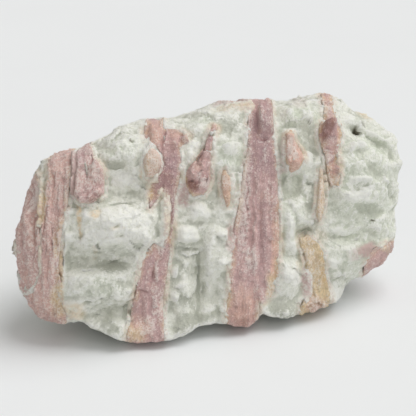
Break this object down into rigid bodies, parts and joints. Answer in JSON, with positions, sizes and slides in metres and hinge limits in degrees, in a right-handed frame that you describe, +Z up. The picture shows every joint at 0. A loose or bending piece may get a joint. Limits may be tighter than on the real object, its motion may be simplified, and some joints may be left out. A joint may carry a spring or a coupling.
{
  "type": "rubellite specimen",
  "caption": "Rough hand specimen of pink tourmaline crystals running through a broken block of white albite, resting flat.",
  "frame": {"origin": "middle of the object's box, on the surface that it rests on", "axes": "+X along the block's length, towards the end without crystals; +Z up; the show face looks towards -Y, turned 16 degrees to -X and leaning back 22 degrees"},
  "size_m": [0.0936, 0.045, 0.0476],
  "materials": {
    "albite": "broken, sugary, slightly glistening",
    "rubellite": "striated, waxy to glassy",
    "dark_rubellite": "striated, waxy to glassy",
    "pale_rubellite": "granular, dull",
    "stained_tourmaline": "granular, dull, stained"
  },
  "bodies": {
    "root": {"albite_matrix": "albite", "main_crystal": "rubellite", "second_crystal": "rubellite", "end_crystal_inner": "rubellite", "end_crystal_outer": "dark_rubellite", "stub_crystal": "rubellite", "knob_crystal": "pale_rubellite", "lozenge_crystal": "rubellite", "short_sliver": "pale_rubellite", "tilted_crystal": "pale_rubellite", "notched_crystal": "rubellite", "long_sliver": "stained_tourmaline", "stained_crystal": "stained_tourmaline", "corner_crystal": "rubellite", "crest_crystal": "pale_rubellite", "back_crystal_tall": "rubellite", "back_crystal_short": "dark_rubellite", "back_sliver": "pale_rubellite"}
  },
  "joints": []
}
